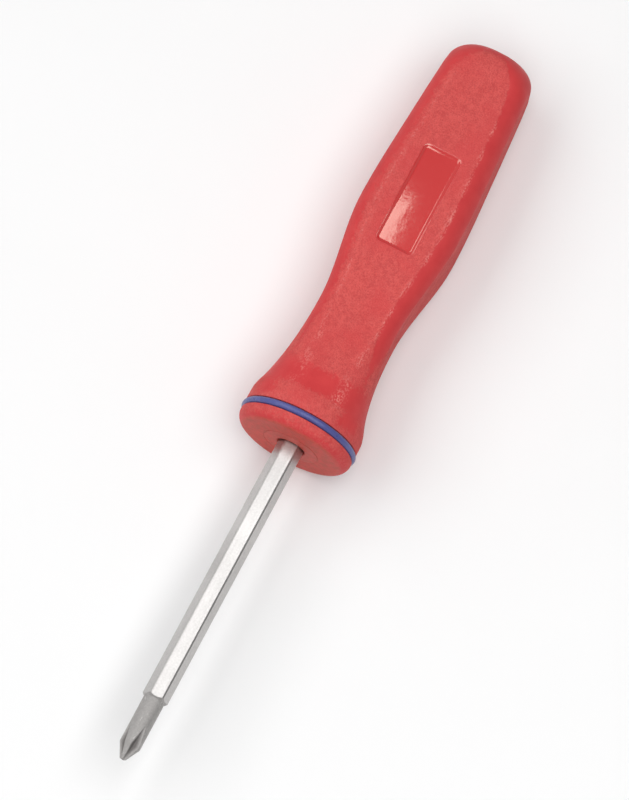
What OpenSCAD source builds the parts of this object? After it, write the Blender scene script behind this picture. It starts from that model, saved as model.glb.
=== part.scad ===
// Pocket screwdriver with a pull-out double-ended hexagonal blade.
// X runs along the tool towards the exposed point, Z is up, square to the flat with the recess.
// The origin is the centre of the handle's front face, where the blade leaves the handle.

/* [Overall] */
// Length from the exposed point to the end of the handle
overall_len = 150; // [140:1:165]
// Length of the handle behind its front face
handle_len = 83.4; // [76:0.1:95]

/* [Handle form] */
// Diameter of the round nose
nose_d = 22.4; // [21.4:0.1:26]
// Length of the straight nose behind the front face
nose_len = 6; // [5:0.1:8]
// Radius of the rounded edge of the front face
nose_edge_r = 2.1; // [0.5:0.1:2.3]
// Distance of the narrow waist from the front face
waist_at = 26.5; // [20:0.5:32]
// Width across the flats at the waist
waist_w = 15.5; // [15.2:0.1:18.5]
// Radius of the corners at the waist
waist_corner_r = 2.7; // [1.5:0.1:4]
// Distance of the widest place from the front face
belly_at = 46.5; // [40:0.5:54]
// Width across the flats at the widest place
belly_w = 19.8; // [18.6:0.1:24]
// Radius of the corners at the widest place
belly_corner_r = 3; // [1.5:0.1:5]
// Width across the flats at the end, before its edge is rounded
butt_w = 15.9; // [14:0.1:18]
// Radius of the corners at the end, before its edge is rounded
butt_corner_r = 5; // [4:0.1:6.5]
// Angle of the soft crease between a flat and a corner
corner_crease = 20; // [0:1:35]
// Length of the rounded edge at the end
butt_edge_len = 4.2; // [1:0.1:6]
// Depth of that edge, in from the flats
butt_edge_depth = 4; // [1:0.1:4.8]
// Length over which the section turns round towards the end
butt_round_len = 6; // [3:0.1:10]

/* [Recess] */
// Length of the shallow recess in the upper flat
recess_len = 20.8; // [10:0.1:26]
// Width of the recess
recess_w = 7.6; // [4:0.1:10]
// Depth of the recess, whose floor follows the flat
recess_depth = 0.4; // [0.2:0.05:1]
// Distance of the recess's middle from the front face
recess_at = 49.9; // [44:0.1:54]
// Radius of the recess's corners
recess_corner_r = 1; // [0.2:0.1:1.5]

/* [Colour ring] */
// Outer diameter of the ring, which stands a little proud of the nose
ring_d = 23; // [22.8:0.1:26]
// Width of the ring along the handle
ring_w = 1.3; // [0.8:0.1:1.6]
// Thickness of the ring from its inner to its outer face
ring_t = 1.3; // [0.9:0.1:2]
// Distance of the ring's middle from the front face
ring_at = 3.2; // [3.1:0.1:3.8]

/* [Blade] */
// Width of the hexagonal bar across its flats
hex_af = 4.5; // [4:0.1:5]
// Width of the bar over its broken corners
hex_over_corners = 5; // [4.6:0.05:5.15]
// Length of the bar from point to point
blade_len = 120; // [108:1:126]
// Length of the turned round part at each end
tip_len = 12.4; // [11:0.1:15]
// Diameter of the turned round part
tip_d = 4.05; // [3.6:0.05:4.4]
// Length of the cone between the hexagon and the turned part
shoulder_len = 0.5; // [0.3:0.1:1.5]
// Width of the blunt end of the cross point
point_d = 1.2; // [0.7:0.05:1.4]
// Half angle of the cross point's cone
point_angle = 26.5; // [22:0.5:30]
// Distance of the flutes' roots from the axis at the point
flute_root_r = 0.42; // [0.35:0.01:0.6]
// Length of the flutes from the point
flute_len = 6.8; // [6:0.1:9]
// Angle between the two walls of a flute
flute_angle = 100; // [85:1:110]
// Radius of a flute's round root
flute_round_r = 0.3; // [0.1:0.05:0.5]
// Turn of the flutes from the bar's upper flat
flute_turn = -28; // [-45:1:45]
// Thickness of the flat end
slot_t = 0.8; // [0.5:0.1:1.2]
// Width of the flat end
slot_w = 4; // [3:0.1:4.2]
// Length of the flat end's parallel stretch
slot_flat_len = 1.5; // [0.5:0.1:3]
// Length of the flat end's ground faces
slot_len = 9.5; // [7:0.1:10.5]

/* [Socket] */
// Diameter of the core that shows as a circle on the front face
core_d = 10.8; // [10.4:0.1:12]
// Diameter of the round mouth that the blade passes through
mouth_d = 5.5; // [5.3:0.1:7]
// Depth of the round mouth in front of the sleeve
mouth_depth = 2.5; // [1:0.1:4]
// Width of the broken edge round the mouth
mouth_chamfer = 0.15; // [0.05:0.05:0.5]
// Room behind the blade's inner end
tail_room = 2; // [0.5:0.1:4]
// Thickness of the core's closed end
core_end_t = 4; // [2:0.1:8]
// Height of the core's ribs
rib_h = 1.2; // [0.6:0.1:1.8]
// Width of the core's ribs
rib_w = 2; // [1:0.1:3]
// Distance of the ribs from the front face
rib_at = 8; // [6:0.5:14]
// Width of the steel sleeve across its flats
sleeve_af = 7.6; // [7.4:0.1:7.8]
// Length of the stop bush behind the sleeve
bush_len = 4; // [2.5:0.1:6]
// Thickness of the retaining ring's wire
wire_d = 0.6; // [0.4:0.05:0.7]
// Distance of the retaining ring from the front face
wire_at = 8; // [6:0.5:20]
// Opening of the retaining ring
wire_gap_angle = 50; // [30:5:90]
// Turn of the hexagon from the handle's upper flat
socket_turn = -4; // [-30:1:30]

/* [Fits] */
// Clearance between moulded pieces
mould_fit = 0.02; // [0.01:0.01:0.05]
// Clearance on each side of the sliding blade
slide_fit = 0.05; // [0.03:0.01:0.08]
// Clearance on each side of the colour ring in its groove
groove_fit = 0.1; // [0.03:0.01:0.15]

/* [Hidden] */
$fn = 96;

// Overrun of every cut past the face that it opens
cut_over = 1;
// Step between the turned nose and the lofted grip, and their shared length
nose_step = 0.04;
nose_lap = 1;
// Least half width of a flat where the section is nearly round
least_flat = 0.12;
// Sections of the grip, steps of each corner's arc and of the rounded end
grip_steps = 44;
corner_steps = 8;
edge_steps = 8;
recess_steps = 14;

// Shoulder behind the nose, as shares of the way, the drop and the mean slope to the waist
shoulder_place_share = 0.17;
shoulder_drop_share = 0.3;
flare_slope_share = 1.85;
// Straight taper to the end, as shares of the way and the mean slope from the belly
taper_place_share = 0.315;
taper_slope_share = 1.16;
// Start of the rounder corners towards the end, as a share of the way from the belly
butt_corner_share = 0.62;
// How round the section is at the very end, as a share of a full round
butt_round_share = 0.9;
// Ends of the core's ribs and the angle between two of them
rib_end_share = 0.9;
rib_count = 4;
flute_count = 4;

// Places along X, and depths behind the front face
point_x = overall_len - handle_len;
tail_x = point_x - blade_len;
blade_in = -tail_x;
seat_at = blade_in - tip_len - shoulder_len;
core_len = blade_in + tail_room + core_end_t;

// Radii that fits are worked out from
hex_corner_r = hex_over_corners / 2;
tip_r = tip_d / 2;
nose_r = nose_d / 2;
grip_nose_r = nose_r - nose_step;
point_r = point_d / 2;
cone_len = (tip_r - point_r) / tan(point_angle);
flute_slope = atan((tip_r - flute_root_r) / flute_len);
ring_floor_r = ring_d / 2 - ring_t;
wire_ring_r = hex_corner_r + slide_fit + wire_d / 2;

// Widths and slopes of the grip's outline
nose_drop = grip_nose_r - waist_w / 2;
shoulder_at = nose_len + shoulder_place_share * (waist_at - nose_len);
shoulder_r = grip_nose_r - shoulder_drop_share * nose_drop;
flare_slope = -flare_slope_share * nose_drop / (waist_at - nose_len);
taper_at = belly_at + taper_place_share * (handle_len - belly_at);
taper_slope = -taper_slope_share * (belly_w - butt_w) / 2 / (handle_len - belly_at);
taper_r = butt_w / 2 - taper_slope * (handle_len - taper_at);
butt_corner_at = belly_at + butt_corner_share * (handle_len - belly_at);

// Cubic from place a to place b, each given as [distance, value, slope]
function cubic(d, a, b) =
    let (span = b[0] - a[0], t = (d - a[0]) / span)
    a[1] * (1 + 2 * t) * pow(1 - t, 2) + b[1] * t * t * (3 - 2 * t)
    + span * t * (1 - t) * (a[2] * (1 - t) - b[2] * t);

// Rise from 0 at one value to 1 at another, with level ends
function ease(value, low, high) =
    let (t = min(max((value - low) / (high - low), 0), 1))
    t * t * (3 - 2 * t);

// Half the width across the flats at a distance behind the front face
function half_width(d) =
    let (
        nose = [nose_len, grip_nose_r, 0],
        shoulder = [shoulder_at, shoulder_r, flare_slope],
        waist = [waist_at, waist_w / 2, 0],
        belly = [belly_at, belly_w / 2, 0],
        taper = [taper_at, taper_r, taper_slope]
    )
    d < nose_len ? grip_nose_r
    : d < shoulder_at ? cubic(d, nose, shoulder)
    : d < waist_at ? cubic(d, shoulder, waist)
    : d < belly_at ? cubic(d, waist, belly)
    : d < taper_at ? cubic(d, belly, taper)
    : taper_r + taper_slope * (d - taper_at);

// Radius of the corners at a distance behind the front face
function corner_radius(d) =
    d < nose_len ? grip_nose_r
    : d < waist_at
        ? waist_corner_r + (grip_nose_r - waist_corner_r) * pow((waist_at - d) / (waist_at - nose_len), 2)
    : d < belly_at ? cubic(d, [waist_at, waist_corner_r, 0], [belly_at, belly_corner_r, 0])
    : d < butt_corner_at ? belly_corner_r
    : belly_corner_r
        + (butt_corner_r - belly_corner_r) * pow((d - butt_corner_at) / (handle_len - butt_corner_at), 2);

// Angle of the crease at a distance behind the front face, fading out towards the nose and the end
function crease(d) =
    corner_crease * ease(d, nose_len, waist_at) * (1 - ease(d, butt_corner_at, handle_len - butt_edge_len));

// Points of one section of the grip, drawn in by inset, with each corner an arc between two creases
function section(d, inset) =
    let (
        half = half_width(d) - inset,
        own_r = min(corner_radius(d) - inset, half - least_flat),
        rounding = butt_round_share * max(0, 1 - (handle_len - d) / butt_round_len),
        r = own_r + rounding * (half - least_flat - own_r),
        bend = 45 - crease(d),
        arc_r = r * sin(45) / sin(bend),
        c = half - r / 2 - arc_r * cos(bend) * sin(45)
    )
    [
        for (quarter = [0 : 3], step = [0 : corner_steps])
            let (
                turn = 90 * quarter,
                a = turn + 45 + bend * (2 * step / corner_steps - 1),
                cy = c * (cos(turn) - sin(turn)),
                cz = c * (sin(turn) + cos(turn))
            )
            [-d, cy + arc_r * cos(a), cz + arc_r * sin(a)]
    ];

// Closed solid through a list of sections with as many points each
module loft(sections) {
    count = len(sections[0]);
    last = len(sections) - 1;
    points = [for (s = sections) each s];
    sides = [
        for (i = [0 : last - 1], j = [0 : count - 1])
            let (
                a = i * count + j,
                b = i * count + (j + 1) % count
            )
            each [[a, b, b + count], [a, b + count, a + count]]
    ];
    front = [for (j = [count - 1 : -1 : 0]) j];
    back = [for (j = [0 : count - 1]) last * count + j];
    polyhedron(points, concat(sides, [front, back]));
}

// Shape turned about X from an outline of [radius, place along X]
module turned(outline) {
    rotate([0, 90, 0]) rotate_extrude() polygon(outline);
}

// Round bar along X from one place to another
module round_bar(r, from, to) {
    translate([from, 0, 0]) rotate([0, 90, 0]) cylinder(r = r, h = to - from);
}

// Hexagonal bar along X from one place to another, its flats turned with the socket
module hex_bar(af, from, to) {
    translate([from, 0, 0])
        rotate([socket_turn, 0, 0])
            rotate([0, 90, 0])
                rotate([0, 0, 30])
                    cylinder(r = af / sqrt(3), h = to - from, $fn = 6);
}

// Flat outline with rounded corners
module rounded_plate(length, width, r) {
    square([length - 2 * r, width], center = true);
    square([length, width - 2 * r], center = true);
    for (sx = [-1, 1], sy = [-1, 1])
        translate([sx * (length / 2 - r), sy * (width / 2 - r)])
            circle(r = r);
}

// Ribs that lock the core in the grip, under the grip's corners
module ribs(clearance) {
    height = core_d / 2 + rib_h + clearance;
    start = rib_at - clearance;
    end = rib_end_share * core_len + clearance;
    for (i = [0 : rib_count - 1])
        rotate([45 + i * 360 / rib_count, 0, 0])
            translate([-end, -rib_w / 2 - clearance, 0])
                cube([end - start, rib_w + 2 * clearance, height]);
}

// Round nose with its rounded front edge
module nose() {
    rotate([0, -90, 0])
        rotate_extrude() {
            square([nose_r - nose_edge_r, nose_len]);
            translate([0, nose_edge_r]) square([nose_r, nose_len - nose_edge_r]);
            translate([nose_r - nose_edge_r, nose_edge_r])
                intersection() {
                    circle(r = nose_edge_r);
                    translate([0, -nose_edge_r]) square(nose_edge_r);
                }
        }
}

// Grip behind the nose, round at first and square with round corners further back
module grip_form() {
    start = nose_len - nose_lap;
    straight = handle_len - butt_edge_len;
    loft(concat(
        [for (i = [0 : grip_steps]) section(start + (straight - start) * i / grip_steps, 0)],
        [
            for (i = [1 : edge_steps])
                let (a = 90 * i / edge_steps)
                section(straight + butt_edge_len * sin(a), butt_edge_depth * (1 - cos(a)))
        ]
    ));
}

// Room of the recess, its floor a constant depth under the upper flat
module recess_room() {
    top = belly_w / 2 + cut_over;
    start = recess_at - recess_len / 2 - cut_over;
    end = recess_at + recess_len / 2 + cut_over;
    floor_line = [
        for (i = [0 : recess_steps])
            let (d = start + (end - start) * i / recess_steps)
            [-d, half_width(d) - recess_depth]
    ];
    intersection() {
        translate([-recess_at, 0, 0])
            linear_extrude(top)
                rounded_plate(recess_len, recess_w, recess_corner_r);
        rotate([90, 0, 0])
            linear_extrude(recess_w + cut_over, center = true)
                polygon(concat(floor_line, [[-end, top], [-start, top]]));
    }
}

// Outer moulding with the ring's groove, the recess and the room for the core
module grip() {
    groove_w = ring_w + 2 * groove_fit;
    groove_r = ring_floor_r - groove_fit;
    color("#cf4448")
        difference() {
            union() {
                nose();
                grip_form();
            }
            round_bar(core_d / 2 + mould_fit, -core_len - mould_fit, cut_over);
            ribs(mould_fit);
            turned([
                [groove_r, -ring_at - groove_w / 2],
                [nose_r + cut_over, -ring_at - groove_w / 2],
                [nose_r + cut_over, -ring_at + groove_w / 2],
                [groove_r, -ring_at + groove_w / 2]
            ]);
            recess_room();
        }
}

// Inner moulding round the steel socket, flush with the front face
module handle_core() {
    mouth_r = mouth_d / 2;
    color("#b53338")
        difference() {
            union() {
                round_bar(core_d / 2, -core_len, 0);
                ribs(0);
            }
            turned([
                [0, -mouth_depth - cut_over],
                [mouth_r, -mouth_depth - cut_over],
                [mouth_r, -mouth_chamfer],
                [mouth_r + mouth_chamfer, 0],
                [mouth_r + mouth_chamfer, cut_over],
                [0, cut_over]
            ]);
            hex_bar(sleeve_af + 2 * mould_fit, -seat_at, -mouth_depth);
            round_bar(sleeve_af / 2 + mould_fit, -seat_at - bush_len - mould_fit, -seat_at + mould_fit);
            round_bar(tip_r + slide_fit + mould_fit, -blade_in - tail_room, -seat_at);
        }
}

// Steel sleeve with the hexagonal hole that turns the blade
module drive_sleeve() {
    groove_w = wire_d + 2 * slide_fit;
    groove_r = wire_ring_r + wire_d / 2 + slide_fit;
    color("#8d9196")
        difference() {
            hex_bar(sleeve_af, -seat_at, -mouth_depth - mould_fit);
            hex_bar(hex_af + 2 * slide_fit, -seat_at - cut_over, -mouth_depth + cut_over);
            round_bar(groove_r, -wire_at - groove_w / 2, -wire_at + groove_w / 2);
        }
}

// Steel bush that the blade's shoulder seats in
module stop_bush() {
    hole_r = tip_r + slide_fit;
    seat_r = hex_corner_r + slide_fit;
    seat_len = shoulder_len * (seat_r - hole_r) / (hex_corner_r - tip_r);
    color("#74787d")
        turned([
            [hole_r, -seat_at - bush_len],
            [sleeve_af / 2, -seat_at - bush_len],
            [sleeve_af / 2, -seat_at],
            [seat_r, -seat_at],
            [hole_r, -seat_at - seat_len]
        ]);
}

// Split ring of spring wire that grips the blade's corners
module retaining_ring() {
    color("#b9bdc2")
        translate([-wire_at, 0, 0])
            rotate([0, 90, 0])
                rotate_extrude(angle = 360 - wire_gap_angle)
                    translate([wire_ring_r, 0])
                        circle(d = wire_d);
}

// Rubber ring with a round outer face, stretched into the nose's groove
module colour_ring() {
    bead_r = ring_w / 2;
    bead_at = ring_d / 2 - bead_r;
    color("#4a56a8")
        translate([-ring_at, 0, 0])
            rotate([0, 90, 0])
                rotate_extrude() {
                    translate([ring_floor_r, -bead_r]) square([bead_at - ring_floor_r, ring_w]);
                    translate([bead_at, 0])
                        intersection() {
                            circle(r = bead_r);
                            translate([0, -bead_r]) square([bead_r, ring_w]);
                        }
                }
}

// Flute of the cross point, its round root running out at the turned surface
module flute() {
    half = flute_angle / 2;
    low = flute_round_r * (1 - sin(half));
    side = flute_round_r * cos(half);
    far_side = side + tip_d * tan(half);
    translate([point_x, 0, flute_root_r])
        rotate([0, flute_slope, 0])
            rotate([0, -90, 0])
                translate([0, 0, -cut_over])
                    linear_extrude(flute_len + 2 * cut_over) {
                        translate([flute_round_r, 0]) circle(r = flute_round_r);
                        polygon([[low, -side], [low, side], [low + tip_d, far_side], [low + tip_d, -far_side]]);
                    }
}

// Ground face of the flat end and the trimmed side beside it
module slot_cut() {
    ground_x = tail_x + slot_len;
    rotate([90, 0, 0])
        linear_extrude(tip_d + cut_over, center = true)
            polygon([
                [tail_x - cut_over, slot_t / 2],
                [tail_x + slot_flat_len, slot_t / 2],
                [ground_x, tip_r],
                [ground_x, tip_r + cut_over],
                [tail_x - cut_over, tip_r + cut_over]
            ]);
    translate([tail_x - cut_over, slot_w / 2, -tip_d])
        cube([slot_len / 2 + cut_over, tip_d, 2 * tip_d]);
}

// Hexagonal bar with a cross point at one end and a flat end at the other
module blade() {
    color("#c9cdd2")
        difference() {
            intersection() {
                turned([
                    [0, tail_x],
                    [tip_r, tail_x],
                    [tip_r, tail_x + tip_len],
                    [hex_corner_r, tail_x + tip_len + shoulder_len],
                    [hex_corner_r, point_x - tip_len - shoulder_len],
                    [tip_r, point_x - tip_len],
                    [tip_r, point_x - cone_len],
                    [point_r, point_x],
                    [0, point_x]
                ]);
                hex_bar(hex_af, tail_x - cut_over, point_x + cut_over);
            }
            rotate([socket_turn, 0, 0]) {
                for (i = [0 : flute_count - 1])
                    rotate([flute_turn + i * 360 / flute_count, 0, 0]) flute();
                slot_cut();
                rotate([180, 0, 0]) slot_cut();
            }
        }
}

grip();
handle_core();
drive_sleeve();
stop_bush();
retaining_ring();
colour_ring();
blade();
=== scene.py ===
"""Looks of a pocket screwdriver with a red moulded handle, a blue ring and a plated hexagonal blade."""

import math

import bpy
from mathutils import Matrix, Vector


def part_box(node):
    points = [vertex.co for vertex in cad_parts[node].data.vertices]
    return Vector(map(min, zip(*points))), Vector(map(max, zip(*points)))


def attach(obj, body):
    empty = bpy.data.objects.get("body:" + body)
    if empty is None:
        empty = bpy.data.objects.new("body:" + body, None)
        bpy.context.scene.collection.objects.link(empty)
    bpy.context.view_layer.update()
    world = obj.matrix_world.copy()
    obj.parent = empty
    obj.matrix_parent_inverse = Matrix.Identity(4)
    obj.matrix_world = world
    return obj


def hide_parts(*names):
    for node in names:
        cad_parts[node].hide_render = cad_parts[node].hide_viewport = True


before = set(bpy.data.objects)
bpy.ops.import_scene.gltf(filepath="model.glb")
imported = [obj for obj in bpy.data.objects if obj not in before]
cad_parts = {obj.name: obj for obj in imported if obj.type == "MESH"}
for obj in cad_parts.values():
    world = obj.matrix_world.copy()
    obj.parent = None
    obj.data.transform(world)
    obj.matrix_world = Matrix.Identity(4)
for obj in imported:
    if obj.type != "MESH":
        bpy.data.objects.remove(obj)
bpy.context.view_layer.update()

MM = 0.001
QUARTER_TURN = math.pi / 2
EIGHTH_TURN = math.pi / 4

# Handle, in millimetres in the part's own frame, with distances counted back from the front face
HANDLE_LEN = -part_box("grip")[0].x / MM
NOSE_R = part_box("grip")[1].y / MM
NOSE_LEN = 6
NOSE_EDGE_R = 2.1
NOSE_STEP = 0.04
GRIP_NOSE_R = NOSE_R - NOSE_STEP
WAIST_AT = 26.5
WAIST_R = 7.75
WAIST_CORNER_R = 2.7
BELLY_AT = 46.5
BELLY_R = 9.9
BELLY_CORNER_R = 3
BUTT_R = 7.95
BUTT_CORNER_R = 5
BUTT_EDGE_LEN = 4.2
BUTT_EDGE_DEPTH = 4
BUTT_EDGE_AT = HANDLE_LEN - BUTT_EDGE_LEN
BUTT_ROUND_LEN = 6
BUTT_ROUND_SHARE = 0.9
CORNER_CREASE = math.radians(20)
LEAST_FLAT = 0.12

# Shares that the handle's outline follows, as in the solid
SHOULDER_PLACE_SHARE = 0.17
SHOULDER_DROP_SHARE = 0.3
FLARE_SLOPE_SHARE = 1.85
TAPER_PLACE_SHARE = 0.315
TAPER_SLOPE_SHARE = 1.16
BUTT_CORNER_SHARE = 0.62
FLARE_LEN = WAIST_AT - NOSE_LEN
NOSE_DROP = GRIP_NOSE_R - WAIST_R
BACK_LEN = HANDLE_LEN - BELLY_AT
SHOULDER_AT = NOSE_LEN + SHOULDER_PLACE_SHARE * FLARE_LEN
SHOULDER_R = GRIP_NOSE_R - SHOULDER_DROP_SHARE * NOSE_DROP
FLARE_SLOPE = -FLARE_SLOPE_SHARE * NOSE_DROP / FLARE_LEN
TAPER_AT = BELLY_AT + TAPER_PLACE_SHARE * BACK_LEN
TAPER_SLOPE = -TAPER_SLOPE_SHARE * (BELLY_R - BUTT_R) / BACK_LEN
TAPER_R = BUTT_R - TAPER_SLOPE * (HANDLE_LEN - TAPER_AT)
BUTT_CORNER_AT = BELLY_AT + BUTT_CORNER_SHARE * BACK_LEN

# Bore for the core and its ribs, with a fine seam round the core on the front face
CORE_LEN = -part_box("handle_core")[0].x / MM
CORE_FIT = 0.02
BORE_R = 5.42
SEAM_W = 0.07
RIB_TOP_R = 6.62
RIB_HALF_W = 1.02
RIB_START = 7.98
RIB_END_SHARE = 0.9
RIB_END = RIB_END_SHARE * CORE_LEN

# Groove of the blue ring
RING_LOW, RING_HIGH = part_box("colour_ring")
RING_R = RING_HIGH.z / MM
RING_W = (RING_HIGH.x - RING_LOW.x) / MM
RING_AT = -(RING_HIGH.x + RING_LOW.x) / 2 / MM
RING_T = 1.3
GROOVE_FIT = 0.1
GROOVE_LIP_R = 0.16

# Recess in the upper flat
RECESS_AT = 49.9
RECESS_LEN = 20.8
RECESS_W = 7.6
RECESS_DEPTH = 0.4
RECESS_CORNER_R = 1
RECESS_WALL = 0.7
RECESS_DISH = 0.07
RECESS_EDGE = (-0.12, 0.1)

# Grained flats: they arch over towards the butt and fade out at their edges,
# with a bare band behind the nose
NOSE_GRAIN = 0.7
NOSE_GRAIN_W = 4.8
GRAIN_ARCH_LEN = 7
GRAIN_ARCH_FADE = 0.5
GRAIN_END = 1.4
GRAIN_IN = -0.4
GRAIN_OUT = 0.4
LEFT_GRAIN_OUT = 2.4
FLARE_GRAIN_OUT = 2
BARE_FROM = (7, 9)
BARE_TO = (11, 15)

# Wear on the ridges beside the flats and on the edges of the nose; along the upper flat's ridges it is
# also painted glints, brightest on the right-hand ridge
RIDGE_LEAST_Y = 4.3
RIDGE_W = 0.5
RIDGE_NOSE_W = 1.9
RIDGE_FADE_LEN = 3
RIGHT_RUB_AND_GLINT = 0.9
LEFT_RUB_AND_GLINT = 0.65
OTHER_RUB = 0.2
NOSE_EDGE_RUB = 0.12
GROOVE_LIP_RUB = 0.2

# Lines of the handle's mesh
CORNER_LINES = 14
CREASE_HALF_W = 0.25
CREASE_FLAT_SHARE = 0.25
PLAIN_LINES = 5
WALL_LINES = 12
WALL_MARGIN = 0.2
RECESS_LINES_ACROSS = 4
RECESS_LINES_ALONG = 12
LINES_FULL_AT = 20
LINE_SPAN = 5.6
STATION_STEP = 0.8
FACE_SHARES = (0, 0.03, 0.2, 0.5, 0.8, 0.97)
NOSE_EDGE_STEPS = 12
GROOVE_LIP_STEPS = 4
BUTT_EDGE_STEPS = 14
END_SHRINKS = (0.96, 0.6, 0.25)
LEAST_SINE = 0.01
SHARP_ANGLE = math.radians(42)

# Blade: a hexagonal bar whose corners slope down to the turned part at both ends
BLADE_LOW, BLADE_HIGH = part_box("blade")
BAR_CORNER_R = 2.5
BAR_SLOPE_LEN = 0.5
TIP_LEN = 12.4
TIP_R = 2.025
POINT_R = 0.6
CONE_SLOPE = math.tan(math.radians(26.5))


def smooth(value, low, high):
    """Rises from 0 at low to 1 at high with level ends."""
    t = min(max((value - low) / (high - low), 0), 1)
    return t * t * (3 - 2 * t)


def cubic(d, a, b):
    """Curve from place a to place b, each given as distance, value and slope."""
    span = b[0] - a[0]
    t = (d - a[0]) / span
    ends = a[1] * (1 + 2 * t) * (1 - t) ** 2 + b[1] * t * t * (3 - 2 * t)
    return ends + span * t * (1 - t) * (a[2] * (1 - t) - b[2] * t)


def half_width(d):
    """Half the handle's width across its flats."""
    places = [
        (NOSE_LEN, GRIP_NOSE_R, 0),
        (SHOULDER_AT, SHOULDER_R, FLARE_SLOPE),
        (WAIST_AT, WAIST_R, 0),
        (BELLY_AT, BELLY_R, 0),
        (TAPER_AT, TAPER_R, TAPER_SLOPE),
    ]
    if d <= NOSE_LEN:
        return GRIP_NOSE_R
    for a, b in zip(places, places[1:]):
        if d < b[0]:
            return cubic(d, a, b)
    return TAPER_R + TAPER_SLOPE * (d - TAPER_AT)


def corner_radius(d):
    """Radius of the handle's corners."""
    if d <= NOSE_LEN:
        return GRIP_NOSE_R
    if d < WAIST_AT:
        share = (WAIST_AT - d) / FLARE_LEN
        return WAIST_CORNER_R + (GRIP_NOSE_R - WAIST_CORNER_R) * share ** 2
    if d < BELLY_AT:
        return cubic(d, (WAIST_AT, WAIST_CORNER_R, 0), (BELLY_AT, BELLY_CORNER_R, 0))
    if d < BUTT_CORNER_AT:
        return BELLY_CORNER_R
    share = (d - BUTT_CORNER_AT) / (HANDLE_LEN - BUTT_CORNER_AT)
    return BELLY_CORNER_R + (BUTT_CORNER_R - BELLY_CORNER_R) * share ** 2


def grip_section(d, inset):
    """Half width and corner radius of the grip's section, drawn in by inset at the rounded end."""
    half = half_width(d) - inset
    radius = min(corner_radius(d) - inset, half - LEAST_FLAT)
    rounding = BUTT_ROUND_SHARE * max(0, 1 - (HANDLE_LEN - d) / BUTT_ROUND_LEN)
    return half, radius + rounding * (half - LEAST_FLAT - radius)


def corner_arc(d, half, radius):
    """Centre, radius and start of a corner's arc, which meets the flats at soft creases."""
    crease = CORNER_CREASE * smooth(d, NOSE_LEN, WAIST_AT)
    crease *= 1 - smooth(d, BUTT_CORNER_AT, BUTT_EDGE_AT)
    bend = EIGHTH_TURN - crease
    arc_r = radius * math.sin(EIGHTH_TURN) / math.sin(bend)
    centre = half - radius / 2 - arc_r * math.cos(bend) * math.sin(EIGHTH_TURN)
    return centre, arc_r, crease


def recess_lines(half, inner_lines):
    """Places from the recess's middle to just outside its wall, close together at the wall."""
    inner = half - RECESS_CORNER_R
    band = RECESS_CORNER_R + WALL_MARGIN
    plain = [inner * i / inner_lines for i in range(inner_lines)]
    return plain + [inner + band * i / WALL_LINES for i in range(WALL_LINES + 1)]


def flat_lines(upper):
    """Places across half of a flat where it is widest, from its middle outwards."""
    start = recess_lines(RECESS_W / 2, RECESS_LINES_ACROSS) if upper else [0]
    gap = LINE_SPAN - start[-1]
    return start + [start[-1] + gap * i / PLAIN_LINES for i in range(1, PLAIN_LINES + 1)]


def half_angles(d, half, radius, upper):
    """Angles from the middle of a flat to the middle of a corner, one for each line of the mesh."""
    flat = half - radius
    crease_w = min(CREASE_HALF_W, flat * CREASE_FLAT_SHARE)
    scale = min(1, (flat - crease_w) / (LINE_SPAN + LEAST_FLAT))
    across = [y * scale for y in flat_lines(upper)] + [flat - crease_w]
    angles = [math.atan2(y, half) for y in across]
    centre, arc_r, crease = corner_arc(d, half, radius)
    start = crease + crease_w / arc_r
    turns = [crease]
    turns += [start + (EIGHTH_TURN - start) * i / CORNER_LINES for i in range(CORNER_LINES + 1)]
    for turn in turns:
        angles.append(math.atan2(centre + arc_r * math.sin(turn), centre + arc_r * math.cos(turn)))
    return angles


def line_angles(d, half, radius, share):
    """Angles of all the mesh's lines: even on the round nose, on the section's places at share 1."""
    angles = []
    for quarter in range(4):
        own = half_angles(d, half, min(radius, half - LEAST_FLAT), quarter == 0)
        last = len(own) - 1
        mixed = [(1 - share) * EIGHTH_TURN * i / last + share * a for i, a in enumerate(own)]
        quarter_angles = [-a for a in reversed(mixed[1:])] + mixed[:-1]
        angles += [(quarter, a) for a in quarter_angles]
    return angles


def reach(angle, d, half, radius):
    """Distance from the axis to the section's outline, at an angle from the middle of a flat."""
    angle = abs(angle)
    if half * math.tan(angle) <= half - radius:
        return half / math.cos(angle)
    centre, arc_r, _ = corner_arc(d, half, radius)
    across = centre * (math.sin(angle) + math.cos(angle))
    return across + math.sqrt(across ** 2 - 2 * centre ** 2 + arc_r ** 2)


def recess_distance(x, y):
    """Distance outside the recess's rounded outline, negative inside it."""
    qx = abs(x + RECESS_AT) - (RECESS_LEN / 2 - RECESS_CORNER_R)
    qy = abs(y) - (RECESS_W / 2 - RECESS_CORNER_R)
    outside = math.hypot(max(qx, 0), max(qy, 0))
    return outside + min(max(qx, qy), 0) - RECESS_CORNER_R


def recess_sink(x, y):
    """How far the recess sinks at a place on the upper flat, and the recess's mask there."""
    gap = recess_distance(x, y)
    depth = RECESS_DEPTH - RECESS_DISH * min(1, abs(2 * y / RECESS_W)) ** 2
    return depth * (1 - smooth(gap, -RECESS_WALL, 0)), 1 - smooth(gap, *RECESS_EDGE)


def grain_mask(d, across, fade):
    """Share of moulded grain at a distance across from the middle of a flat."""
    flaring = 1 - smooth(d, NOSE_LEN, WAIST_AT)
    arch_at = max(0, (d - HANDLE_LEN + GRAIN_ARCH_LEN) / (GRAIN_ARCH_LEN - GRAIN_END))
    arch = math.sqrt(max(0, 1 - arch_at ** 2))
    grain_w = (half_width(d) - corner_radius(d)) * arch + NOSE_GRAIN_W * flaring
    edge = smooth(across - grain_w, GRAIN_IN, fade + FLARE_GRAIN_OUT * flaring)
    bare = smooth(d, *BARE_FROM) * (1 - smooth(d, *BARE_TO))
    return (1 - edge) * (1 - bare) * smooth(arch, 0, GRAIN_ARCH_FADE)


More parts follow.
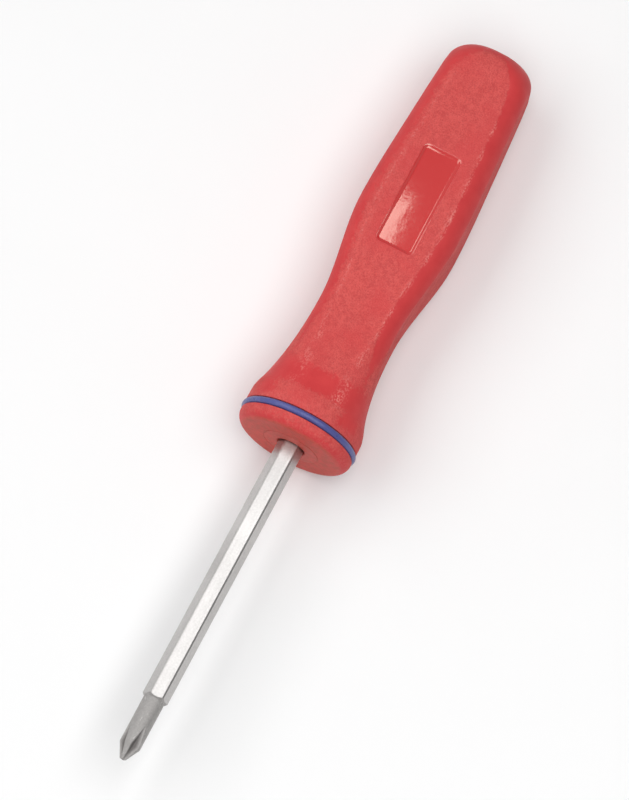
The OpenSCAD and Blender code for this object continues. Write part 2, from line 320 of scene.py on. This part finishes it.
def rub_and_glint_mask(d, across, flat):
    """Share of wear and painted glint at a distance across from the middle of a flat, most on the ridge
    at its edge.
    """
    flaring = 1 - smooth(d, NOSE_LEN, WAIST_AT)
    ridge_w = RIDGE_W + (RIDGE_NOSE_W - RIDGE_W) * flaring
    rising = smooth(d, NOSE_LEN, NOSE_LEN + RIDGE_FADE_LEN)
    falling = 1 - smooth(d, BUTT_CORNER_AT, BUTT_EDGE_AT)
    return rising * falling * max(0, 1 - abs(across - max(flat, RIDGE_LEAST_Y)) / ridge_w)


def add_object(name, data):
    """A new object in the scene."""
    made = bpy.data.objects.new(name, data)
    bpy.context.scene.collection.objects.link(made)
    return made


def arc_steps(count, start=0):
    """Angles of a quarter turn in equal steps."""
    return [QUARTER_TURN * i / count for i in range(start, count + 1)]


class Shell:
    """Rings of points along the handle, joined into one closed skin."""

    def __init__(self):
        self.points = []
        self.rings = []
        self.masks = {"panel": [], "recess": [], "rub_and_glint": []}

    def add_point(self, point, panel=0, recess=0, rub_and_glint=0):
        """Adds a point with its masks, and gives its number."""
        self.points.append(point)
        self.masks["panel"].append(panel)
        self.masks["recess"].append(recess)
        self.masks["rub_and_glint"].append(rub_and_glint)
        return len(self.points) - 1

    def add_round_ring(self, d, radius, panel=0, rub_and_glint=0, ribbed=False):
        """Round ring of the nose or the bore, which can have the room for the core's ribs."""
        ring = []
        for quarter, angle in line_angles(d, radius, radius, 0):
            r = radius
            if ribbed:
                off = abs(EIGHTH_TURN - abs(angle))
                side = RIB_HALF_W / max(math.sin(off), LEAST_SINE)
                r = max(radius, min(RIB_TOP_R / math.cos(off), side))
            turn = quarter * QUARTER_TURN + angle
            place = (-d, r * math.sin(turn), r * math.cos(turn))
            ring.append(self.add_point(place, panel=panel, rub_and_glint=rub_and_glint))
        self.rings.append(ring)

    def add_groove_lip(self, edge, side):
        """Rounded lip of the blue ring's groove, on its front side at -1 and on its back side at 1."""
        for a in arc_steps(GROOVE_LIP_STEPS)[::-side]:
            d = edge + side * GROOVE_LIP_R * (1 - math.sin(a))
            radius = NOSE_R - GROOVE_LIP_R * (1 - math.cos(a))
            self.add_round_ring(d, radius, NOSE_GRAIN, GROOVE_LIP_RUB)

    def add_grip_ring(self, d, inset=0, shrink=1):
        """Ring of the grip, drawn in by inset at the rounded end and shrunk on the end face."""
        half, radius = grip_section(d, inset)
        share = smooth(d, NOSE_LEN, LINES_FULL_AT)
        ring = []
        for quarter, angle in line_angles(d, half, radius, share):
            r = reach(angle, d, half, radius) * shrink
            turn = quarter * QUARTER_TURN + angle
            y = r * math.sin(turn)
            z = r * math.cos(turn)
            recess = 0
            fade = GRAIN_OUT
            wear_and_glint = OTHER_RUB
            if quarter == 0:
                sink, recess = recess_sink(-d, y)
                z -= sink
                fade = LEFT_GRAIN_OUT if angle < 0 else GRAIN_OUT
                # On the upper flat the ridges carry painted glints as well as wear, brighter on the
                # right-hand ridge
                wear_and_glint = RIGHT_RUB_AND_GLINT if angle > 0 else LEFT_RUB_AND_GLINT
            across = r * math.sin(abs(angle))
            panel = grain_mask(d, across, fade) * (1 - recess)
            rub_and_glint = wear_and_glint * rub_and_glint_mask(d, across, half - radius)
            ring.append(self.add_point((-d, y, z), panel, recess, rub_and_glint))
        self.rings.append(ring)

    def build(self, name):
        """The mesh object, with the ends closed and the masks kept as attributes."""
        faces = []
        for a, b in zip(self.rings, self.rings[1:]):
            for i, low in enumerate(a):
                j = (i + 1) % len(a)
                faces.append((low, a[j], b[j], b[i]))
        for ring, order in ((self.rings[0], -1), (self.rings[-1], 1)):
            middle = self.add_point((self.points[ring[0]][0], 0, 0))
            for i, low in enumerate(ring):
                faces.append((low, ring[(i + 1) % len(ring)], middle)[::order])
        mesh = bpy.data.meshes.new(name)
        mesh.from_pydata([[MM * c for c in p] for p in self.points], [], faces)
        for mask, values in self.masks.items():
            layer = mesh.attributes.new(mask, "FLOAT", "POINT")
            layer.data.foreach_set("value", values)
        mesh.validate()
        mesh.shade_smooth()
        mesh.set_sharp_from_angle(angle=SHARP_ANGLE)
        return add_object(name, mesh)


def even_stations(start, end):
    """Distances from start to just before end, about a station's step apart."""
    count = round((end - start) / STATION_STEP)
    return [start + (end - start) * i / count for i in range(count)]


def make_grip():
    """The outer moulding: bore, front face, grooved nose, square grip, recess and round end."""
    shell = Shell()
    shell.add_round_ring(CORE_LEN + CORE_FIT, BORE_R)
    for d, ribbed in ((RIB_END, False), (RIB_END, True), (RIB_START, True), (RIB_START, False)):
        shell.add_round_ring(d, BORE_R, ribbed=ribbed)
    shell.add_round_ring(SEAM_W, BORE_R)

    seam_r = BORE_R + SEAM_W
    face_r = NOSE_R - NOSE_EDGE_R
    for share in FACE_SHARES:
        shell.add_round_ring(0, seam_r + share * (face_r - seam_r))
    for a in arc_steps(NOSE_EDGE_STEPS):
        d = NOSE_EDGE_R * (1 - math.cos(a))
        panel = NOSE_GRAIN * math.sin(a) ** 2
        rub_and_glint = NOSE_EDGE_RUB * math.sin(2 * a)
        shell.add_round_ring(d, face_r + NOSE_EDGE_R * math.sin(a), panel, rub_and_glint)

    groove_r = RING_R - RING_T - GROOVE_FIT
    groove_front = RING_AT - RING_W / 2 - GROOVE_FIT
    groove_back = RING_AT + RING_W / 2 + GROOVE_FIT
    shell.add_groove_lip(groove_front, -1)
    shell.add_round_ring(groove_front, groove_r)
    shell.add_round_ring(groove_back, groove_r)
    shell.add_groove_lip(groove_back, 1)

    along = recess_lines(RECESS_LEN / 2, RECESS_LINES_ALONG)
    recess_stations = [RECESS_AT - x for x in reversed(along[1:])] + [RECESS_AT + x for x in along]
    stations = even_stations(NOSE_LEN, recess_stations[0]) + recess_stations
    stations += even_stations(recess_stations[-1], BUTT_EDGE_AT)[1:] + [BUTT_EDGE_AT]
    for d in stations:
        shell.add_grip_ring(d)
    for a in arc_steps(BUTT_EDGE_STEPS, 1):
        d = BUTT_EDGE_AT + BUTT_EDGE_LEN * math.sin(a)
        shell.add_grip_ring(d, BUTT_EDGE_DEPTH * (1 - math.cos(a)))
    for shrink in END_SHRINKS:
        shell.add_grip_ring(HANDLE_LEN, BUTT_EDGE_DEPTH, shrink)
    return shell.build("grip_moulding")


# Most of a noise's values lie between these two
NOISE_LOW = 0.3
NOISE_HIGH = 0.7


class Material:
    """A node material with short ways to add its nodes."""

    def __init__(self, name):
        self.data = bpy.data.materials.new(name)
        self.data.use_nodes = True
        self.tree = self.data.node_tree
        self.tree.nodes.clear()
        output = self.tree.nodes.new("ShaderNodeOutputMaterial")
        self.shader = self.tree.nodes.new("ShaderNodeBsdfPrincipled")
        self.link(self.shader.outputs["BSDF"], output.inputs["Surface"])
        coordinates = self.tree.nodes.new("ShaderNodeTexCoord")
        self.place = coordinates.outputs["Object"]

    def link(self, source, target):
        """Links a node's output to another node's input."""
        self.tree.links.new(source, target)

    def feed(self, value, target):
        """Links a node's output, or sets a plain value."""
        if isinstance(value, bpy.types.NodeSocket):
            self.link(value, target)
        else:
            target.default_value = value

    def set(self, **values):
        """Feeds the shader's own sockets, named in lower case."""
        for name, value in values.items():
            self.feed(value, self.shader.inputs[name.replace("_", " ").title().replace("Ior", "IOR")])

    def mask(self, name):
        """One of the masks that the mesh carries."""
        node = self.tree.nodes.new("ShaderNodeAttribute")
        node.attribute_name = name
        return node.outputs["Fac"]

    def axes(self):
        """The place on the piece along X, Y and Z."""
        node = self.tree.nodes.new("ShaderNodeSeparateXYZ")
        self.link(self.place, node.inputs["Vector"])
        return node.outputs

    def stretched(self, x, y, z):
        """The place on the piece, scaled along each axis."""
        node = self.tree.nodes.new("ShaderNodeMapping")
        node.inputs["Scale"].default_value = (x, y, z)
        self.link(self.place, node.inputs["Vector"])
        return node.outputs["Vector"]

    def noise(self, scale=1, detail=2, roughness=0.5, place=None):
        """Cloudy noise with about scale clouds to the metre, or to a unit of a stretched place."""
        node = self.tree.nodes.new("ShaderNodeTexNoise")
        node.inputs["Scale"].default_value = scale
        node.inputs["Detail"].default_value = detail
        node.inputs["Roughness"].default_value = roughness
        self.link(place or self.place, node.inputs["Vector"])
        return node.outputs["Fac"]

    def combine(self, operation, a, b=0):
        """One of the math operations, of which some leave the second value out."""
        node = self.tree.nodes.new("ShaderNodeMath")
        node.operation = operation
        self.feed(a, node.inputs[0])
        self.feed(b, node.inputs[1])
        return node.outputs["Value"]

    def plus(self, a, b):
        return self.combine("ADD", a, b)

    def minus(self, a, b):
        return self.combine("SUBTRACT", a, b)

    def times(self, a, b):
        return self.combine("MULTIPLY", a, b)

    def span(self, value, low, high, to_low=0, to_high=1, soft=False):
        """Maps low to high onto another range, held at its ends."""
        node = self.tree.nodes.new("ShaderNodeMapRange")
        node.interpolation_type = "SMOOTHSTEP" if soft else "LINEAR"
        self.feed(value, node.inputs["Value"])
        ends = {"From Min": low, "From Max": high, "To Min": to_low, "To Max": to_high}
        for name, number in ends.items():
            self.feed(number, node.inputs[name])
        return node.outputs["Result"]

    def spread(self, noise, to_low=0, to_high=1):
        """Maps most of a noise's values onto another range."""
        return self.span(noise, NOISE_LOW, NOISE_HIGH, to_low, to_high)

    def between(self, share, a, b):
        """A value from a at share 0 to b at share 1."""
        return self.span(share, 0, 1, a, b)

    def mix(self, share, a, b):
        """A colour from a at share 0 to b at share 1."""
        node = self.tree.nodes.new("ShaderNodeMix")
        node.data_type = "RGBA"
        self.feed(share, node.inputs["Factor"])
        self.feed(a, node.inputs["A"])
        self.feed(b, node.inputs["B"])
        return node.outputs["Result"]

    def bump(self, height, size):
        """A surface raised by height times a size in millimetres."""
        node = self.tree.nodes.new("ShaderNodeBump")
        node.inputs["Strength"].default_value = 1
        node.inputs["Distance"].default_value = size * MM
        self.link(height, node.inputs["Height"])
        return node.outputs["Normal"]


def colour(red, green, blue):
    """A shader colour from linear red, green and blue."""
    return (red, green, blue, 1)


WHITE = colour(1, 1, 1)

# Reds of the plastic
GRAIN_DARK = colour(0.565, 0.066, 0.064)
GRAIN_LIGHT = colour(0.685, 0.098, 0.089)
HANDLED_RED = colour(0.63, 0.063, 0.064)
CORNER_DARK = colour(0.6, 0.042, 0.046)
CORNER_LIGHT = colour(0.65, 0.053, 0.055)
# Front face: darker, browner reds as painted shade, clouded by marks on the face
FACE_DARK_WITH_SHADE = colour(0.49, 0.05, 0.027)
FACE_LIGHT_WITH_SHADE = colour(0.62, 0.05, 0.035)
RECESS_RED = colour(0.63, 0.015, 0.022)
# Pale red of wear, also used for the painted glints on the ridges and the painted sparkle on the grain
WEAR_AND_GLINT_RED = colour(0.8, 0.26, 0.23)

# Gloss of the plastic
PLASTIC_IOR = 1.5
PLASTIC_GLOSS = 0.5
DULL_GLOSS = 0.25
CORNER_ROUGHNESS = 0.56
GRAIN_ROUGHNESS = (0.68, 0.84)
RECESS_ROUGHNESS = 0.1
RECESS_IOR = 2.2
RECESS_SHINE = colour(1, 0.98, 0.84)
RUB_POLISH = 0.2

# Shares of the plastic's relief, and how much its painted sparkle specks show
PORE_SHARE = 0.4
CORNER_GRAIN = 0.25
RECESS_WAVE = 0.3
SPARKLE_SHARE = 0.11

# Blue of the ring
RING_DARK = colour(0.065, 0.075, 0.26)
RING_LIGHT = colour(0.09, 0.1, 0.31)

# Greys of the steel
PLATING_DARK = colour(0.47, 0.457, 0.448)
PLATING_LIGHT = colour(0.58, 0.565, 0.555)
BLASTED_DARK = colour(0.46, 0.445, 0.435)
BLASTED_LIGHT = colour(0.54, 0.525, 0.515)
# Painted shade for the hollows of the tip's flutes
FLUTE_SHADE_GREY = colour(0.15, 0.135, 0.13)
SCRATCH_GREY = colour(0.72, 0.71, 0.7)
SLEEVE_DARK = colour(0.36, 0.36, 0.38)
SLEEVE_LIGHT = colour(0.5, 0.51, 0.53)
SPRING_DARK = colour(0.45, 0.46, 0.48)
SPRING_LIGHT = colour(0.6, 0.61, 0.63)
PLATING_ROUGHNESS = (0.3, 0.38)
BLASTED_ROUGHNESS = 0.75
PLATING_RELIEF = 0.12


def face_red_with_shade(made, mottle):
    """Clouded red of the front face, on the grip and on the core alike, darker and browner than the
    rest of the plastic as painted shade.
    """
    return made.mix(made.span(mottle, low=0.35, high=0.65), FACE_DARK_WITH_SHADE, FACE_LIGHT_WITH_SHADE)


def red_plastic():
    """Moulded red plastic: grained flats with painted sparkle, smoother corners, a front face in
    painted shade, a polished recess, and rubbed ridges with painted glints.
    """
    made = Material("grip_plastic")
    recess = made.mask("recess")
    ragged = made.spread(made.noise(scale=1500), to_low=-0.3, to_high=0.3)
    panel = made.span(made.plus(made.mask("panel"), ragged), low=0.25, high=0.75)
    front = made.span(made.axes()["X"], low=-0.3 * MM, high=-0.1 * MM)
    grain = made.noise(scale=3400, detail=1)
    pores = made.noise(scale=6400, detail=1)
    patch = made.noise(scale=330, detail=3, roughness=0.55)
    mottle = made.noise(scale=800, detail=3, roughness=0.6)
    handled = made.span(made.noise(scale=130), low=0.46, high=0.64, to_high=0.6)

    mottled = made.span(made.plus(grain, mottle), low=0.8, high=1.2)
    flat_tone = made.mix(mottled, GRAIN_DARK, GRAIN_LIGHT)
    flat_tone = made.mix(handled, flat_tone, HANDLED_RED)
    corner_tone = made.mix(made.spread(patch), CORNER_DARK, CORNER_LIGHT)
    # The front face takes the darker, browner red of painted shade
    corner_tone = made.mix(front, corner_tone, face_red_with_shade(made, mottle))
    tone = made.mix(recess, made.mix(panel, corner_tone, flat_tone), RECESS_RED)

    # Painted sparkle: pale specks on the grain that stand for glints of light
    sparkle_specks = made.span(made.noise(scale=4300, detail=1), low=0.54, high=0.68)
    painted_sparkle = made.times(sparkle_specks, made.between(panel, 0, SPARKLE_SHARE))
    nicks = made.span(made.noise(place=made.stretched(2100, 3300, 3300)), low=0.47, high=0.62)
    # Wear on the edges, with painted glints along the upper flat's ridges
    rubbed_and_glinting = made.times(made.times(made.mask("rub_and_glint"), nicks), made.span(patch, low=0.38, high=0.62))
    worn_and_glinting = made.mix(made.plus(painted_sparkle, rubbed_and_glinting), tone, WEAR_AND_GLINT_RED)

    matt = made.span(patch, 0.35, 0.65, *GRAIN_ROUGHNESS)
    roughness = made.between(recess, made.between(panel, CORNER_ROUGHNESS, matt), RECESS_ROUGHNESS)
    shiny = made.combine("MAXIMUM", recess, front)
    relief = made.plus(grain, made.times(pores, PORE_SHARE))
    rough_height = made.times(relief, made.between(panel, CORNER_GRAIN, 1))
    height = made.between(recess, rough_height, made.times(patch, RECESS_WAVE))
    made.set(
        base_color=worn_and_glinting,
        roughness=made.minus(roughness, made.times(rubbed_and_glinting, RUB_POLISH)),
        ior=made.between(recess, PLASTIC_IOR, RECESS_IOR),
        specular_ior_level=made.between(shiny, DULL_GLOSS, PLASTIC_GLOSS),
        specular_tint=made.mix(recess, WHITE, RECESS_SHINE),
        normal=made.bump(height, size=0.1),
    )
    return made.data


def core_plastic():
    """Red plastic of the core, the same red as the grip's front with its painted shade, and a fine
    grain.
    """
    made = Material("core_plastic")
    grain = made.noise(scale=2300, detail=1)
    made.set(
        base_color=face_red_with_shade(made, made.noise(scale=800, detail=3, roughness=0.6)),
        roughness=made.spread(grain, to_low=0.48, to_high=0.54),
        ior=PLASTIC_IOR,
        normal=made.bump(grain, size=0.03),
    )
    return made.data


def ring_rubber():
    """Blue rubber with a soft sheen and a slightly uneven skin."""
    made = Material("ring_rubber")
    skin = made.noise(scale=700, detail=3, roughness=0.6)
    made.set(
        base_color=made.mix(made.spread(made.noise(scale=180)), RING_DARK, RING_LIGHT),
        roughness=made.spread(skin, to_low=0.25, to_high=0.4),
        ior=PLASTIC_IOR,
        normal=made.bump(skin, size=0.16),
    )
    return made.data


def drawn_steel(name, dark, light, smoothest, roughest):
    """Bare steel with fine marks along its length."""
    made = Material(name)
    streak = made.noise(detail=3, roughness=0.6, place=made.stretched(120, 5200, 5200))
    stain = made.noise(scale=300, detail=3, roughness=0.6)
    made.set(
        base_color=made.mix(made.spread(stain), dark, light),
        metallic=1,
        roughness=made.spread(streak, smoothest, roughest),
        normal=made.bump(streak, size=0.008),
    )
    return made.data


def blade_plating():
    """Satin plating on the bar and a dull blasted grey on both turned ends, with painted shade in the
    tip's flutes.
    """
    made = Material("blade_plating")
    axes = made.axes()
    along = axes["X"]
    squares = made.plus(made.combine("POWER", axes["Y"], 2), made.combine("POWER", axes["Z"], 2))
    radius = made.combine("SQRT", squares)

    middle = (BLADE_LOW.x + BLADE_HIGH.x) / 2
    bar_half_len = (BLADE_HIGH.x - BLADE_LOW.x) / 2 - TIP_LEN * MM
    slope_run = BAR_SLOPE_LEN / (BAR_CORNER_R - TIP_R)
    from_middle = made.combine("ABSOLUTE", made.minus(along, middle))
    edge = bar_half_len + slope_run * TIP_R * MM
    beyond = made.minus(made.plus(from_middle, made.times(radius, slope_run)), edge)
    uneven = made.noise(scale=1800, detail=3, roughness=0.6)
    ragged = made.spread(uneven, to_low=-0.06 * MM, to_high=0.06 * MM)
    blasted = made.span(made.plus(beyond, ragged), low=-0.1 * MM, high=0.02 * MM, soft=True)

    streak = made.noise(detail=3, roughness=0.6, place=made.stretched(60, 4200, 4200))
    patch = made.noise(scale=2600, detail=3, roughness=0.6)
    satin = made.span(made.plus(made.noise(scale=90), patch), low=0.75, high=1.25)
    plated = made.mix(satin, PLATING_DARK, PLATING_LIGHT)

    # Painted shade in the flutes: the deeper a place sinks below the tip's outline, the darker it is
    # painted
    cone_r = made.plus(made.times(made.minus(BLADE_HIGH.x, along), CONE_SLOPE), POINT_R * MM)
    sunk = made.minus(made.combine("MINIMUM", cone_r, TIP_R * MM), radius)
    flute_shade = made.span(sunk, low=0.1 * MM, high=0.6 * MM, to_high=0.65)
    scratches = made.noise(place=made.stretched(900, 1900, 1900))
    scratched = made.span(scratches, low=0.66, high=0.72, to_high=0.7)
    dull = made.mix(made.spread(patch), BLASTED_DARK, BLASTED_LIGHT)
    dull = made.mix(flute_shade, dull, FLUTE_SHADE_GREY)
    dull = made.mix(scratched, dull, SCRATCH_GREY)

    pits = made.noise(scale=5200, detail=2, roughness=0.6)
    height = made.between(blasted, made.times(streak, PLATING_RELIEF), pits)
    made.set(
        base_color=made.mix(blasted, plated, dull),
        metallic=1,
        roughness=made.between(blasted, made.spread(streak, *PLATING_ROUGHNESS), BLASTED_ROUGHNESS),
        normal=made.bump(height, size=0.02),
    )
    return made.data


def dress(node, material):
    """Gives a solid that is kept its material."""
    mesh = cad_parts[node].data
    mesh.materials.clear()
    mesh.materials.append(material)


def make_object():
    """All pieces with their materials, the new grip riding on the handle's body in place of the solid
    grip.
    """
    grip = make_grip()
    grip.data.materials.append(red_plastic())
    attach(grip, "handle")
    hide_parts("grip")
    steel = drawn_steel("sleeve_steel", SLEEVE_DARK, SLEEVE_LIGHT, smoothest=0.28, roughest=0.4)
    spring = drawn_steel("spring_steel", SPRING_DARK, SPRING_LIGHT, smoothest=0.2, roughest=0.32)
    dress("handle_core", core_plastic())
    dress("colour_ring", ring_rubber())
    dress("drive_sleeve", steel)
    dress("stop_bush", steel)
    dress("retaining_ring", spring)
    dress("blade", blade_plating())


# Camera: how the tool lies in the picture
IMAGE_W = 629
IMAGE_H = 800
MM_PER_PIXEL = 0.1804
ORIGIN_PIXEL = (290.5, 447)
TIP_LIFT = math.radians(17.4)
SIDE_TURN = math.radians(5)
TIP_ANGLE = math.radians(241.7)
LENS = 1000
SENSOR = 36
CLIP_END = 50


def picture_axes():
    """Right, up and towards the camera, in the part's frame."""
    towards = Vector((
        math.sin(TIP_LIFT),
        math.cos(TIP_LIFT) * math.sin(SIDE_TURN),
        math.cos(TIP_LIFT) * math.cos(SIDE_TURN),
    ))
    tool = Vector((1, 0, 0))
    tool = (tool - tool.dot(towards) * towards).normalized()
    square = towards.cross(tool)
    right = math.cos(TIP_ANGLE) * tool - math.sin(TIP_ANGLE) * square
    up = math.sin(TIP_ANGLE) * tool + math.cos(TIP_ANGLE) * square
    return right, up, towards


def make_camera():
    """The camera at the picture's viewing angle, far off with a long lens."""
    right, up, towards = picture_axes()
    pixel = MM_PER_PIXEL * MM
    target = right * (IMAGE_W / 2 - ORIGIN_PIXEL[0]) * pixel
    target += up * (ORIGIN_PIXEL[1] - IMAGE_H / 2) * pixel
    distance = IMAGE_H * pixel * LENS / SENSOR
    camera = bpy.data.cameras.new("camera")
    camera.lens = LENS
    camera.sensor_width = SENSOR
    camera.clip_end = CLIP_END
    holder = add_object("camera", camera)
    axes = Matrix((right, up, towards)).transposed().to_4x4()
    holder.matrix_world = Matrix.Translation(target + towards * distance) @ axes
    bpy.context.scene.camera = holder


# Floor: half its width in metres, and a hair of air under the ring, in millimetres
FLOOR_HALF_W = 12
FLOOR_GAP = 0.02
# Share of white that the floor adds where it is seen, so that it reads as white paper
FLOOR_LIFT = 0.05
PAPER_DARK = colour(0.88, 0.88, 0.88)
PAPER_LIGHT = colour(0.9, 0.9, 0.9)
# Places behind the belly's middle where the handle may touch the floor
TOUCH_STEP = 0.5
TOUCH_COUNT = 40


def floor_paper():
    """Pale paper, a little brighter where it is seen directly, mirrored or through glass."""
    made = Material("floor_paper")
    path = made.tree.nodes.new("ShaderNodeLightPath").outputs
    seen = made.plus(path["Is Camera Ray"], path["Is Glossy Ray"])
    seen = made.plus(seen, path["Is Transmission Ray"])
    made.set(
        base_color=made.mix(made.noise(scale=30, detail=3), PAPER_DARK, PAPER_LIGHT),
        roughness=0.9,
        specular_ior_level=0.1,
        emission_color=WHITE,
        emission_strength=made.times(seen, FLOOR_LIFT),
    )
    return made.data


def make_floor():
    """A wide pale floor that the ring and the belly rest on."""
    stations = [BELLY_AT + TOUCH_STEP * i for i in range(TOUCH_COUNT)]
    slope = min((RING_R - half_width(d)) / (d - RING_AT) for d in stations)
    corners = []
    for x_side, y_side in ((-1, -1), (1, -1), (1, 1), (-1, 1)):
        x = x_side * FLOOR_HALF_W
        z = -(RING_R + FLOOR_GAP) * MM - slope * (x + RING_AT * MM)
        corners.append((x, y_side * FLOOR_HALF_W, z))
    mesh = bpy.data.meshes.new("floor")
    mesh.from_pydata(corners, [], [(0, 1, 2, 3)])
    mesh.materials.append(floor_paper())
    floor = add_object("floor", mesh)


# Level soft lamps, in metres: name, lowest corner, highest corner and brightness
LAMP_HEIGHT = 0.72
SOFTBOXES = (
    ("top_softbox", (-0.31, -0.05), (0.65, 0.5), 2.56),
    ("left_softbox", (-0.4, -1.1), (0.7, -0.25), 1.7),
    ("right_softbox", (-0.9, 0.75), (0.7, 2.2), 0.22),
)


def make_softbox(name, low, high, radiance):
    """A level soft lamp of a given brightness, from one corner to the other, facing down."""
    width = high[0] - low[0]
    length = high[1] - low[1]
    lamp = bpy.data.lights.new(name, "AREA")
    lamp.shape = "RECTANGLE"
    lamp.size = width
    lamp.size_y = length
    lamp.energy = radiance * math.pi * width * length
    holder = add_object(name, lamp)
    holder.location = ((low[0] + high[0]) / 2, (low[1] + high[1]) / 2, LAMP_HEIGHT)
    holder.visible_camera = False


# Brightness of the room on the tool's two sides, and where it goes over from one to the other
ROOM_LEFT = 0.38
ROOM_RIGHT = 0.14
ROOM_TURN = (-0.4, 0.6)


def make_world():
    """An even room, dimmer on the tool's right-hand side."""
    world = bpy.data.worlds.new("room")
    world.use_nodes = True
    tree = world.node_tree
    background = tree.nodes["Background"]
    coordinates = tree.nodes.new("ShaderNodeTexCoord")
    split = tree.nodes.new("ShaderNodeSeparateXYZ")
    ramp = tree.nodes.new("ShaderNodeMapRange")
    tree.links.new(coordinates.outputs["Generated"], split.inputs["Vector"])
    tree.links.new(split.outputs["Y"], ramp.inputs["Value"])
    ramp.inputs["From Min"].default_value = ROOM_TURN[0]
    ramp.inputs["From Max"].default_value = ROOM_TURN[1]
    ramp.inputs["To Min"].default_value = ROOM_LEFT
    ramp.inputs["To Max"].default_value = ROOM_RIGHT
    background.inputs["Color"].default_value = WHITE
    tree.links.new(ramp.outputs["Result"], background.inputs["Strength"])
    bpy.context.scene.world = world


make_object()
make_camera()
make_floor()
make_world()
for softbox in SOFTBOXES:
    make_softbox(*softbox)
bpy.context.scene.view_settings.view_transform = "Standard"
